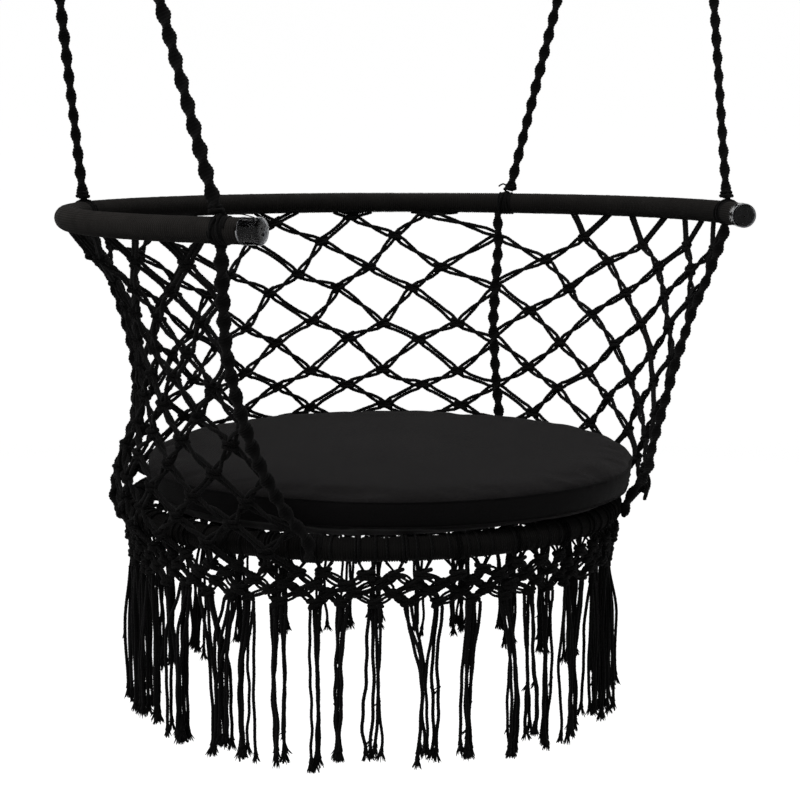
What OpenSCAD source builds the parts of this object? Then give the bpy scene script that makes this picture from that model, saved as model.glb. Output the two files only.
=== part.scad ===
// Hanging macrame swing chair: an open upper hoop, a seat ring below it, a knotted net
// between the two, a round cushion, a tasselled skirt and four suspension ropes.
// Origin: midway between the four hang rings, on their level. +Z is up, the seat's open front faces -Y.

/* [Hanging] */
// Height of the hang rings above the upper hoop
hoop_drop = 330; // [325:1:400]
// How far the upper hoop's centre lies in front of the hang line
hoop_forward = 70; // [60:1:80]
// Height above the hang rings where the front and back ropes would meet
meeting_height = 540; // [450:10:900]
// Half the distance between the left and right meeting points
meeting_half_width = 457.5; // [440:0.5:470]
// Diameter of the twisted suspension ropes and side ropes
rope_d = 14; // [12:0.5:15]
// Radius of the hole through each hang ring
hang_bore_r = 12.5; // [10:0.5:13]
// Width of each hang ring along its hole
hang_ring_w = 16; // [15:0.5:20]

/* [Upper hoop] */
// Outer diameter of the upper hoop over its cotton wrapping
hoop_outer_d = 800; // [790:1:820]
// Outer diameter of the bent steel tubes
tube_d = 22; // [20:0.5:24]
// Wall thickness of the bent steel tubes
tube_wall = 1.2; // [1:0.1:2]
// Thickness of the cotton wrapping on the tubes
wrap_t = 2.5; // [2:0.1:3]
// Half of the hoop's front gap, as an angle from the front
gap_half_angle = 57.5; // [56:0.5:58]
// Length of the clear cap on each end of the hoop
end_cap_len = 26; // [20:1:30]

/* [Seat ring] */
// Outer diameter of the seat ring over its cotton wrapping
ring_outer_d = 597; // [590:1:600]
// Height of the upper hoop above the seat ring
seat_drop = 345; // [335:1:360]
// How far the seat ring's centre lies behind the hoop's centre
ring_back = 75; // [65:1:80]

/* [Net, skirt and fringe] */
// Thickness of the knotted net panels
net_t = 4; // [3:0.5:5]
// Height of the knotted skirt below the seat ring
skirt_h = 34; // [30:1:45]
// Length of the hanging tassels
tassel_len = 190; // [150:1:220]
// Diameter of one tassel
tassel_d = 9; // [6:0.5:12]
// Number of tassels in each quarter of the fringe
tassels_per_quarter = 13; // [8:1:15]

/* [Cushion] */
// Diameter of the round cushion
cushion_d = 594; // [584:1:596]
// Thickness of the cushion over its cover
cushion_t = 45; // [35:1:60]
// Thickness of the cushion's cotton cover
cover_t = 1.5; // [1:0.1:2]

/* [Hidden] */
$fn = 96;

// Places of the four ropes, in this order everywhere below
FRONT_LEFT = 0;
FRONT_RIGHT = 1;
BACK_LEFT = 2;
BACK_RIGHT = 3;

// Angle of each rope's hitch around the upper hoop and around the seat ring, as tied
hoop_angles = [209, 336.5, 137.5, 36.5];
ring_angles = [225, 315, 152, 28];

hoop_r = hoop_outer_d / 2 - tube_d / 2 - wrap_t;
ring_r = ring_outer_d / 2 - tube_d / 2 - wrap_t;
tube_r = tube_d / 2;
wrapped_r = tube_r + wrap_t;
rope_r = rope_d / 2;
hitch_r = wrapped_r + 5.5;
ring_hitch_r = wrapped_r + 3;
hitch_half_w = 15;
hoop_centre = [0, -hoop_forward, -hoop_drop];
ring_centre = hoop_centre + [0, ring_back, -seat_drop];
seam = 0.3;

// A point on the upper hoop's or the seat ring's centre line, at an angle from +X
function hoop_point(a) = hoop_centre + hoop_r * [cos(a), sin(a), 0];
function ring_point(a) = ring_centre + ring_r * [cos(a), sin(a), 0];
function side_of(i) = i == FRONT_LEFT || i == BACK_LEFT ? -1 : 1;
function unit(v) = v / norm(v);

// Each suspension rope runs in a straight line from its hoop hitch towards a meeting point,
// and its hang ring sits where that line reaches the origin's level
function meeting_point(i) = [side_of(i) * meeting_half_width, 0, meeting_height];
function hang_point(i) =
    let (foot = hoop_point(hoop_angles[i]), top = meeting_point(i))
    foot + (top - foot) * hoop_drop / (hoop_drop + meeting_height);

/* ---- ropes ---- */

// Rings of a tube swept along a route, kept upright against the X axis
function tangent(route, i) =
    unit(route[min(i + 1, len(route) - 1)] - route[max(i - 1, 0)]);
function tube_ring(p, t, r, sides) =
    let (n = unit(cross(t, [1, 0, 0])), b = cross(t, n))
    [for (k = [0:sides - 1]) p + r * (cos(k * 360 / sides) * n + sin(k * 360 / sides) * b)];

module tube(route, r, sides = 10) {
    last = len(route) - 1;
    points = [for (i = [0:last]) each tube_ring(route[i], tangent(route, i), r, sides)];
    walls = [
        for (i = [0:last - 1]) for (k = [0:sides - 1])
            let (a = i * sides + k, b = i * sides + (k + 1) % sides)
            each [[a, a + sides, b], [b, a + sides, b + sides]]
    ];
    first_cap = [for (k = [0:sides - 1]) k];
    last_cap = [for (k = [sides - 1:-1:0]) last * sides + k];
    polyhedron(points, concat([first_cap, last_cap], walls));
}

// A smooth curve through hand-placed points, with a number of steps between each two
function smooth_at(a, b, c, d, t) =
    0.5 * (2 * b + (c - a) * t + (2 * a - 5 * b + 4 * c - d) * t * t + (3 * b - 3 * c + d - a) * t * t * t);
function smooth(p, steps) = [
    for (i = [0:len(p) - 2]) for (s = [0:steps - 1])
        smooth_at(p[max(i - 1, 0)], p[i], p[i + 1], p[min(i + 2, len(p) - 1)], s / steps),
    p[len(p) - 1]
];

// The eye's rope lies in the hang ring's groove, and the rope below it starts at its underside
eye_rope_r = 6.5;
eye_r = hang_bore_r + 9;
eye_bottom = eye_r + eye_rope_r;
groove_gap = 0.4;
whipping_start = eye_bottom + 4;
whipping_len = 24;
foot_gap = 5;

module along_rope(i) {
    d = unit(hoop_point(hoop_angles[i]) - hang_point(i));
    translate(hang_point(i))
        rotate([0, acos(d[2]), atan2(d[1], d[0])])
            children();
}

module hang_ring(i) {
    color("silver")
        translate(hang_point(i))
            rotate([0, 90, 0])
                rotate_extrude()
                    difference() {
                        translate([hang_bore_r, -hang_ring_w / 2])
                            square([8, hang_ring_w]);
                        translate([eye_r, 0])
                            circle(eye_rope_r + groove_gap);
                    }
}

module rope_eye(i) {
    color([0.07, 0.07, 0.075])
        translate(hang_point(i))
            rotate([0, 90, 0])
                rotate_extrude()
                    translate([eye_r, 0])
                        circle(eye_rope_r);
}

module rope_whipping(i) {
    color([0.1, 0.1, 0.11])
        along_rope(i)
            translate([0, 0, whipping_start])
                difference() {
                    cylinder(r = rope_r + 2.5, h = whipping_len);
                    translate([0, 0, -1])
                        cylinder(r = rope_r + 0.05, h = whipping_len + 2);
                }
}

module suspension_rope(i) {
    top = hang_point(i);
    foot = hoop_point(hoop_angles[i]);
    along = unit(foot - top);
    start = eye_bottom;
    run = norm(foot - top) - hitch_r - foot_gap - start;
    rings = 10;
    color([0.06, 0.06, 0.065])
        tube([for (k = [0:rings]) top + along * (start + run * k / rings)], rope_r);
}

/* ---- side ropes between the hoop and the seat ring ---- */

// Route of each side rope, as offsets from the upper hoop's centre. The back left one is drawn
// in furthest, and all four pass round the outside of the cushion.
side_routes = [
    [
        [-338, -185, -24], [-335, -180, -50], [-329, -171, -85], [-322, -162, -120], [-311, -154, -155],
        [-298, -147, -190], [-283, -141, -225], [-268, -138, -255], [-253, -136, -280], [-240, -138, -302],
        [-230, -141, -322]
    ],
    [
        [351, -153, -24], [340, -152, -50], [327, -147, -85], [314, -140, -120], [305, -134, -155],
        [295, -130, -190], [285, -128, -225], [273, -130, -255], [261, -134, -280], [248, -143, -302],
        [237, -152, -322]
    ],
    [
        [-279, 254, -24], [-271, 246, -50], [-261, 236, -85], [-253, 227, -120], [-247, 219, -155],
        [-245, 213, -190], [-247, 210, -225], [-254, 211, -255], [-263, 214, -280], [-269, 216, -302],
        [-271, 216, -322]
    ],
    [
        [301, 236, -24], [301, 234, -50], [297, 232, -85], [293, 230, -120], [289, 228, -155],
        [287, 223, -190], [286, 218, -225], [287, 215, -255], [289, 214, -280], [290, 213, -302],
        [290, 212, -322]
    ]
];
function side_route(i) = [for (p = side_routes[i]) hoop_centre + p];

module side_rope(i) {
    color([0.06, 0.06, 0.065])
        tube(smooth(side_route(i), 2), rope_r);
}

/* ---- hoop, seat ring and hitches ---- */

// A sleeve round a bent tube: an arc of a ring-shaped section
module bent_sleeve(bend_r, r_in, r_out, from, to) {
    rotate([0, 0, from])
        rotate_extrude(angle = to - from)
            translate([bend_r, 0])
                difference() {
                    circle(r_out);
                    circle(r_in);
                }
}

hoop_from = -90 + gap_half_angle;
hoop_to = 270 - gap_half_angle;

module hoop_tube() {
    color("dimgray")
        translate(hoop_centre)
            bent_sleeve(hoop_r, tube_r - tube_wall, tube_r, hoop_from, hoop_to);
}

module hoop_wrap() {
    color([0.08, 0.08, 0.085])
        translate(hoop_centre)
            bent_sleeve(hoop_r, tube_r, wrapped_r, hoop_from, hoop_to);
}

// The hoop's left end, with +Z along the tube towards the front gap
module at_left_end() {
    translate(hoop_centre)
        rotate([0, 0, hoop_to])
            translate([hoop_r, 0, 0])
                rotate([-90, 0, 0])
                    children();
}

plug_head_r = tube_r + 1.2;
plug_head_len = 18;
plug_insert_len = 14;
cap_wall = 1.6;

module end_plug() {
    color([0.12, 0.12, 0.12])
        at_left_end()
            difference() {
                union() {
                    translate([0, 0, 0.2])
                        cylinder(r = plug_head_r, h = plug_head_len);
                    translate([0, 0, -plug_insert_len])
                        cylinder(r = tube_r - tube_wall - 0.5, h = plug_insert_len + 1);
                }
                translate([0, 0, plug_head_len - 6])
                    cylinder(r = plug_head_r - 3, h = 8);
            }
}

module end_cap() {
    color([0.8, 0.8, 0.82, 0.4])
        at_left_end()
            translate([0, 0, 0.2])
                difference() {
                    cylinder(r = plug_head_r + 0.2 + cap_wall, h = end_cap_len);
                    translate([0, 0, -1])
                        cylinder(r = plug_head_r + 0.2, h = end_cap_len - cap_wall + 1);
                }
}

module hoop_hitch(i) {
    half = hitch_half_w / hoop_r * 180 / PI;
    color([0.09, 0.09, 0.1])
        translate(hoop_centre)
            bent_sleeve(hoop_r, wrapped_r, hitch_r, hoop_angles[i] - half, hoop_angles[i] + half);
}

module ring_hitch(i) {
    half = hitch_half_w / ring_r * 180 / PI;
    color([0.09, 0.09, 0.1])
        translate(ring_centre)
            bent_sleeve(ring_r, wrapped_r, ring_hitch_r, ring_angles[i] - half, ring_angles[i] + half);
}

module seat_ring_tube() {
    color("dimgray")
        translate(ring_centre)
            bent_sleeve(ring_r, tube_r - tube_wall, tube_r, 0, 360);
}

module seat_ring_wrap() {
    color([0.08, 0.08, 0.085])
        translate(ring_centre)
            bent_sleeve(ring_r, tube_r, wrapped_r, 0, 360);
}

/* ---- nets ---- */

// A net panel is a thin wall from an arc under the hoop to an arc outside the seat ring. It is drawn
// in between the two near some of the ropes, and passes outside the cushion where level with it.
net_top_z = -wrapped_r - 1;
net_foot_r = ring_r + wrapped_r + net_t / 2 + 0.5;
net_edge_gap = 5;
net_rows = [0, 0.2, 0.4, 0.6, 0.7, 0.8, 0.95, 1];
waists = [0, 0, 32, 0];
waist_shape = [[0, 0], [0.2, 0.35], [0.4, 0.75], [0.6, 1], [0.7, 0.8], [0.8, 0], [1, 0]];
cushion_rows = [0.78, 0.97];
cushion_gap = 3.5;

// Distance of the cushion's edge from the seat ring's axis, in a direction
function cushion_reach(direction) = cushion_r + cushion_offset[0] * direction[0] + cushion_offset[1] * direction[1];

function panel_point(hoop_a, ring_a, v, out, waist) =
    let (
        top = hoop_centre + [0, 0, net_top_z] + hoop_r * [cos(hoop_a), sin(hoop_a), 0],
        foot = ring_centre + net_foot_r * [cos(ring_a), sin(ring_a), 0],
        at = top + (foot - top) * v,
        flat = [at[0] - ring_centre[0], at[1] - ring_centre[1], 0],
        direction = unit(flat),
        drawn_in = norm(flat) - waist * lookup(v, waist_shape),
        level = v > cushion_rows[0] && v < cushion_rows[1],
        reach = level ? max(drawn_in, cushion_reach(direction) + cushion_gap + net_t / 2) : drawn_in
    )
    [ring_centre[0], ring_centre[1], at[2]] + (reach + out) * direction;

module net_panel(from, to) {
    across = 16;
    down = len(net_rows) - 1;
    hoop_a = [hoop_angles[from] - net_edge_gap, hoop_angles[to] + net_edge_gap];
    ring_a = [ring_angles[from] - net_edge_gap - 1, ring_angles[to] + net_edge_gap + 1];
    turn_hoop = (hoop_a[1] - hoop_a[0] - 360) % 360;
    turn_ring = (ring_a[1] - ring_a[0] - 360) % 360;
    row = across + 1;
    sheet = row * (down + 1);
    points = [
        for (out = [-net_t / 2, net_t / 2]) for (j = [0:down]) for (i = [0:across])
            let (t = i / across)
            panel_point(
                hoop_a[0] + turn_hoop * t, ring_a[0] + turn_ring * t, net_rows[j], out,
                waists[from] * (1 - t) + waists[to] * t
            )
    ];
    cells = [for (j = [0:down - 1]) for (i = [0:across - 1]) j * row + i];
    inner = [for (c = cells) each [[c, c + 1, c + row], [c + 1, c + row + 1, c + row]]];
    outer = [
        for (c = cells)
            let (o = c + sheet)
            each [[o, o + row, o + 1], [o + 1, o + row, o + row + 1]]
    ];
    rim = concat(
        [for (i = [0:across - 1]) i],
        [for (j = [0:down - 1]) j * row + across],
        [for (i = [across:-1:1]) down * row + i],
        [for (j = [down:-1:1]) j * row]
    );
    edge = [
        for (k = [0:len(rim) - 1])
            let (a = rim[k], b = rim[(k + 1) % len(rim)])
            each [[a, a + sheet, b], [b, a + sheet, b + sheet]]
    ];
    color([0.1, 0.1, 0.11])
        polyhedron(points, concat(inner, outer, edge));
}

module left_net() {
    net_panel(FRONT_LEFT, BACK_LEFT);
}

module back_net() {
    net_panel(BACK_LEFT, BACK_RIGHT);
}

module right_net() {
    net_panel(BACK_RIGHT, FRONT_RIGHT);
}

module seat_net() {
    color([0.1, 0.1, 0.11])
        translate(ring_centre + [0, 0, -net_t / 2])
            cylinder(r = ring_r - ring_hitch_r - seam, h = net_t);
}

/* ---- skirt and fringe ---- */

skirt_top = -ring_hitch_r - 2;
skirt_top_r = ring_r + 6;
skirt_foot_r = ring_r + 1;

module skirt_net() {
    color([0.1, 0.1, 0.11])
        translate(ring_centre)
            rotate_extrude()
                polygon([
                    [skirt_top_r - net_t / 2, skirt_top],
                    [skirt_top_r + net_t / 2, skirt_top],
                    [skirt_foot_r + net_t / 2, skirt_top - skirt_h],
                    [skirt_foot_r - net_t / 2, skirt_top - skirt_h]
                ]);
}

tassel_knot_r = tassel_d / 2 + 2;

module tassel() {
    translate([0, 0, -tassel_knot_r])
        sphere(tassel_knot_r, $fn = 32);
    translate([0, 0, -tassel_len])
        cylinder(d = tassel_d, h = tassel_len - tassel_knot_r, $fn = 32);
}

module fringe(centre_angle) {
    step = 90 / tassels_per_quarter;
    color([0.05, 0.05, 0.055])
        for (k = [0:tassels_per_quarter - 1])
            translate(ring_centre)
                rotate([0, 0, centre_angle - 45 + step * (k + 0.5)])
                    translate([skirt_foot_r, 0, skirt_top - skirt_h - seam])
                        tassel();
}

/* ---- cushion ---- */

// The cushion rests on the hitches of the seat ring, a little off its centre
cushion_offset = [18, -11, ring_hitch_r + seam];
cushion_r = cushion_d / 2;
foam_t = cushion_t - 2 * cover_t;

module at_cushion() {
    translate(ring_centre + cushion_offset)
        children();
}

module cushion_bottom_panel() {
    color([0.09, 0.09, 0.095])
        at_cushion()
            cylinder(r = cushion_r, h = cover_t);
}

module cushion_foam() {
    color("khaki")
        at_cushion()
            translate([0, 0, cover_t])
                cylinder(r = cushion_r - cover_t, h = foam_t);
}

module cushion_side_band() {
    color([0.07, 0.07, 0.075])
        at_cushion()
            translate([0, 0, cover_t])
                difference() {
                    cylinder(r = cushion_r, h = foam_t);
                    translate([0, 0, -1])
                        cylinder(r = cushion_r - cover_t, h = foam_t + 2);
                }
}

module cushion_top_panel() {
    color([0.11, 0.11, 0.115])
        at_cushion()
            translate([0, 0, cover_t + foam_t])
                cylinder(r = cushion_r, h = cover_t);
}

hang_ring(FRONT_LEFT);  // hang_ring_front_left
hang_ring(FRONT_RIGHT);  // hang_ring_front_right
hang_ring(BACK_LEFT);  // hang_ring_back_left
hang_ring(BACK_RIGHT);  // hang_ring_back_right
rope_eye(FRONT_LEFT);  // rope_eye_front_left
rope_eye(FRONT_RIGHT);  // rope_eye_front_right
rope_eye(BACK_LEFT);  // rope_eye_back_left
rope_eye(BACK_RIGHT);  // rope_eye_back_right
rope_whipping(FRONT_LEFT);  // rope_whipping_front_left
rope_whipping(FRONT_RIGHT);  // rope_whipping_front_right
rope_whipping(BACK_LEFT);  // rope_whipping_back_left
rope_whipping(BACK_RIGHT);  // rope_whipping_back_right
suspension_rope(FRONT_LEFT);  // suspension_rope_front_left
suspension_rope(FRONT_RIGHT);  // suspension_rope_front_right
suspension_rope(BACK_LEFT);  // suspension_rope_back_left
suspension_rope(BACK_RIGHT);  // suspension_rope_back_right
hoop_tube();
hoop_wrap();
end_plug();  // hoop_end_plug_left
mirror([1, 0, 0]) end_plug();  // hoop_end_plug_right
end_cap();  // hoop_end_cap_left
mirror([1, 0, 0]) end_cap();  // hoop_end_cap_right
hoop_hitch(FRONT_LEFT);  // hoop_hitch_front_left
hoop_hitch(FRONT_RIGHT);  // hoop_hitch_front_right
hoop_hitch(BACK_LEFT);  // hoop_hitch_back_left
hoop_hitch(BACK_RIGHT);  // hoop_hitch_back_right
side_rope(FRONT_LEFT);  // side_rope_front_left
side_rope(FRONT_RIGHT);  // side_rope_front_right
side_rope(BACK_LEFT);  // side_rope_back_left
side_rope(BACK_RIGHT);  // side_rope_back_right
ring_hitch(FRONT_LEFT);  // ring_hitch_front_left
ring_hitch(FRONT_RIGHT);  // ring_hitch_front_right
ring_hitch(BACK_LEFT);  // ring_hitch_back_left
ring_hitch(BACK_RIGHT);  // ring_hitch_back_right
seat_ring_tube();
seat_ring_wrap();
seat_net();
left_net();
back_net();
right_net();
skirt_net();
fringe(270);  // fringe_front
fringe(180);  // fringe_left
fringe(90);  // fringe_back
fringe(0);  // fringe_right
cushion_foam();
cushion_top_panel();
cushion_side_band();
cushion_bottom_panel();
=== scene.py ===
"""Hanging macrame swing chair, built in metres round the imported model.

Knotted nets, wound hoops, spiral sinnet ropes, a tasselled skirt and a round cushion.
"""
import math

import bpy
import numpy as np
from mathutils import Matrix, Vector


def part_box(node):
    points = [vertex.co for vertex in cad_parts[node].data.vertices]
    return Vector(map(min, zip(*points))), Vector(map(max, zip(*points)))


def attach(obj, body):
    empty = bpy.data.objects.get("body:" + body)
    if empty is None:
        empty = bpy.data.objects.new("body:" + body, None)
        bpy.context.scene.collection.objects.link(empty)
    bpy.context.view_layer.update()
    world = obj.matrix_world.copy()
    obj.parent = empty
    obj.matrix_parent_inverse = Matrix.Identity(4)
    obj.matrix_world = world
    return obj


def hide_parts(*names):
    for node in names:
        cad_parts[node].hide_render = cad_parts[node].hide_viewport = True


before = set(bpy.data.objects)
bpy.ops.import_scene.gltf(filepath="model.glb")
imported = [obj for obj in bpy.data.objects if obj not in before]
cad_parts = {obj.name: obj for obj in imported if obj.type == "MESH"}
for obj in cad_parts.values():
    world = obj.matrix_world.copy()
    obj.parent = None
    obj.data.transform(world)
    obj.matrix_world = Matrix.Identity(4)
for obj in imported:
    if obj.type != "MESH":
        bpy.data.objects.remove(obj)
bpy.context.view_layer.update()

MM = 0.001
CORNERS = ("front_left", "front_right", "back_left", "back_right")


# ---- places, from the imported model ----


def box_of(node):
    return np.array(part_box(node))


hoop_lo, hoop_hi = box_of("hoop_wrap")
ring_lo, ring_hi = box_of("seat_ring_wrap")
WRAPPED_R = (ring_hi[2] - ring_lo[2]) / 2
HOOP_R = (hoop_hi[0] - hoop_lo[0]) / 2 - WRAPPED_R
RING_R = (ring_hi[0] - ring_lo[0]) / 2 - WRAPPED_R
HOOP = np.array([0.0, hoop_hi[1] - HOOP_R - WRAPPED_R, (hoop_lo[2] + hoop_hi[2]) / 2])
RING = (ring_lo + ring_hi) / 2

# Angles of the four hitches round the hoop and round the seat ring, as in part.scad
HOOP_ANGLE = dict(zip(CORNERS, (209.0, -23.5, 137.5, 36.5)))
RING_ANGLE = dict(zip(CORNERS, (225.0, -45.0, 152.0, 28.0)))
HOOP_ARC = (-32.5, 212.5)


def round_the(centre, radius, degrees, drop=0.0):
    """A point on a level circle; degrees may be an array."""
    a = np.radians(degrees)
    return centre + np.stack([radius * np.cos(a), radius * np.sin(a), 0 * a - drop], -1)


def radial(degrees):
    a = math.radians(degrees)
    return np.array([math.cos(a), math.sin(a), 0.0])


def ahead(degrees):
    """The direction along a level circle, counter-clockwise from above."""
    a = math.radians(degrees)
    return np.array([-math.sin(a), math.cos(a), 0.0])


X, Y, UP = np.eye(3)

FOOT = {c: round_the(HOOP, HOOP_R, HOOP_ANGLE[c]) for c in CORNERS}
HANG = {c: sum(box_of("hang_ring_" + c)) / 2 for c in CORNERS}

# Side rope routes as in part.scad, in mm from the hoop's centre: x and y at each of these heights
ROUTE_Z = (-24, -50, -85, -120, -155, -190, -225, -255, -280, -302, -322)
SIDE_ROUTE = {
    "front_left": (
        (-338, -185), (-335, -180), (-329, -171), (-322, -162), (-311, -154), (-298, -147),
        (-283, -141), (-268, -138), (-253, -136), (-240, -138), (-230, -141),
    ),
    "front_right": (
        (351, -153), (340, -152), (327, -147), (314, -140), (305, -134), (295, -130),
        (285, -128), (273, -130), (261, -134), (248, -143), (237, -152),
    ),
    "back_left": (
        (-279, 254), (-271, 246), (-261, 236), (-253, 227), (-247, 219), (-245, 213),
        (-247, 210), (-254, 211), (-263, 214), (-269, 216), (-271, 216),
    ),
    "back_right": (
        (301, 236), (301, 234), (297, 232), (293, 230), (289, 228), (287, 223),
        (286, 218), (287, 215), (289, 214), (290, 213), (290, 212),
    ),
}


def smooth_path(points, steps):
    """A Catmull-Rom curve through the points."""
    p = np.asarray(points, float)
    before = np.vstack([p[:1], p[:-2]])
    after = np.vstack([p[2:], p[-1:]])
    t = (np.arange(steps) / steps)[None, :, None]
    a, b, c, d = (x[:, None, :] for x in (before, p[:-1], p[1:], after))
    bends = 0.5 * (2 * b + (c - a) * t + (2 * a - 5 * b + 4 * c - d) * t**2 + (3 * b - 3 * c + d - a) * t**3)
    return np.vstack([bends.reshape(-1, 3), p[-1:]])


def side_route(corner):
    route = [(x, y, z) for (x, y), z in zip(SIDE_ROUTE[corner], ROUTE_Z)]
    return HOOP + np.array(route, float) * MM


POST = {c: smooth_path(side_route(c), 12) for c in CORNERS}


def post_at(corner, z):
    """The side rope's place at a height."""
    p = POST[corner][::-1]
    return np.array([np.interp(z, p[:, 2], p[:, 0]), np.interp(z, p[:, 2], p[:, 1]), z])


# ---- camera, at the photograph's angle ----

camera = bpy.data.objects.new("camera", bpy.data.cameras.new("camera"))
bpy.context.scene.collection.objects.link(camera)
camera.location = (-1.2195, -1.9347, -0.232)
heading = Vector((0.5446, 0.8387, -0.1407))
camera.rotation_euler = heading.to_track_quat("-Z", "Y").to_euler()
camera.data.lens = 86.6
camera.data.sensor_width = 36.0
camera.data.clip_end = 60.0
bpy.context.scene.camera = camera


# ---- mesh building ----


def unit(v):
    v = np.asarray(v, float)
    return v / np.maximum(np.linalg.norm(v, axis=-1, keepdims=True), 1e-12)


def ease(t):
    t = np.clip(t, 0, 1)
    return t * t * (3 - 2 * t)


class Piece:
    """Gathers vertices, faces and lay coordinates (around, along) for one object."""

    def __init__(self):
        self.points = []
        self.corners = []
        self.sizes = []
        self.lay = []
        self.count = 0

    def add(self, points, *groups):
        """A group is an (n, k) array of indices into the points, with an (n, k, 2) array of lays."""
        for faces, lay in groups:
            self.corners.append((faces + self.count).ravel())
            self.sizes.append(np.full(len(faces), faces.shape[1]))
            self.lay.append(lay.reshape(-1, 2))
        self.points.append(points.reshape(-1, 3))
        self.count += len(self.points[-1])

    def place(self, other, origin, axes, scale=1.0):
        """Adds a copy of another piece, with its x, y and z along three axes."""
        points = np.vstack(other.points) * scale
        self.points.append(origin + points @ np.asarray(axes))
        self.corners += [c + self.count for c in other.corners]
        self.sizes += other.sizes
        self.lay += other.lay
        self.count += len(points)

    def object(self, name, materials):
        mesh = bpy.data.meshes.new(name)
        points = np.vstack(self.points)
        corners = np.concatenate(self.corners)
        sizes = np.concatenate(self.sizes)
        mesh.vertices.add(len(points))
        mesh.vertices.foreach_set("co", points.astype(np.float32).ravel())
        mesh.loops.add(len(corners))
        mesh.loops.foreach_set("vertex_index", corners.astype(np.int32))
        mesh.polygons.add(len(sizes))
        mesh.polygons.foreach_set("loop_start", (np.cumsum(sizes) - sizes).astype(np.int32))
        mesh.polygons.foreach_set("loop_total", sizes.astype(np.int32))
        mesh.polygons.foreach_set("use_smooth", np.full(len(sizes), True))
        layer = mesh.uv_layers.new(name="lay")
        layer.uv.foreach_set("vector", np.vstack(self.lay).astype(np.float32).ravel())
        mesh.update(calc_edges=True)
        mesh.validate()
        for material in materials:
            mesh.materials.append(material)
        made = bpy.data.objects.new(name, mesh)
        bpy.context.scene.collection.objects.link(made)
        return made


def fit(piece, name, material, body, slot, *nodes):
    """Makes the piece's object, puts it under its body's empty and hides the nodes it replaces. The slot is
    not used.
    """
    thing = piece.object(name, [material])
    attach(thing, body)
    if nodes:
        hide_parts(*nodes)
    return thing


def stand_in(piece, node, ending, material, body, slot):
    """Makes the object that replaces one node and is named after it."""
    return fit(piece, node + ending, material, body, slot, node)


def hang_net(cords, knots, node, material, slot):
    """Makes a net of cords, which replaces its node, and the knots on it."""
    stand_in(cords, node, "_cords", material, "chair", slot)
    fit(knots, node + "_knots", NET_COTTON, "chair", slot)


def circle(sides):
    """Angles spread evenly round a turn."""
    return 2 * math.pi * np.arange(sides) / sides


def turn_between(angles, a, b):
    """Directions turned from a towards b by the angles."""
    return np.cos(angles)[..., None] * a + np.sin(angles)[..., None] * b


def skin(piece, rings, along, closed=False, capped=True):
    """Faces between rings of points, (n, m, 3), with end caps unless the rings close on themselves."""
    n, m = rings.shape[:2]
    index = np.arange(n * m).reshape(n, m)
    first, second = (index, np.roll(index, -1, 0)) if closed else (index[:-1], index[1:])
    s0 = np.asarray(along, float)
    s1 = np.append(s0[1:], 2 * s0[-1] - s0[-2]) if closed else s0[1:]
    s0 = s0 if closed else s0[:-1]
    quads = np.stack([first, np.roll(first, -1, 1), np.roll(second, -1, 1), second], -1).reshape(-1, 4)
    k = np.arange(m) / m
    lay = np.empty((len(first), m, 4, 2))
    lay[..., 0] = np.stack([k, k + 1 / m, k + 1 / m, k], -1)
    lay[..., 1] = np.stack([s0, s0, s1, s1], -1)[:, None]
    groups = [(quads, lay)]
    if capped and not closed:
        for ring, s in ((index[0][::-1], along[0]), (index[-1], along[-1])):
            groups.append((ring[None], np.stack([k, np.full(m, s)], -1)))
    piece.add(rings, *groups)


def frames(path, ref, closed=False):
    """Tangent, side and upward directions along a path, kept against a reference direction."""
    if closed:
        tangent = unit(np.roll(path, -1, 0) - np.roll(path, 1, 0))
    else:
        tangent = unit(np.gradient(path, axis=0))
    side = unit(np.cross(np.broadcast_to(ref, path.shape), tangent))
    return tangent, side, np.cross(tangent, side)


def lengths(path):
    return np.concatenate([[0.0], np.cumsum(np.linalg.norm(np.diff(path, axis=0), axis=1))])


def tube(piece, path, radius, ref, sides=9, lobes=3, depth=0.1, pitch=12 * MM, phase=0.0, closed=False):
    """A laid cord: a lobed tube whose strands turn round it once in each pitch."""
    path = np.asarray(path, float)
    s = lengths(path)
    _, side, up = frames(path, ref, closed)
    total = s[-1] + (np.linalg.norm(path[0] - path[-1]) if closed else 0.0)
    turns = total / pitch
    if closed:
        turns = max(1, round(turns))
    theta = circle(sides)
    angle = theta[None] + (phase + 2 * math.pi * turns * s / total)[:, None]
    reach = np.broadcast_to(radius, s.shape)[:, None] * (1 + depth * np.cos(lobes * theta))[None]
    skin(piece, path[:, None] + reach[..., None] * turn_between(angle, side[:, None], up[:, None]), s, closed)


def resample(path, step):
    s = lengths(path)
    n = max(3, int(round(s[-1] / step)) + 1)
    t = np.linspace(0, s[-1], n)
    return np.stack([np.interp(t, s, path[:, i]) for i in range(3)], -1)


# ---- materials ----


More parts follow.
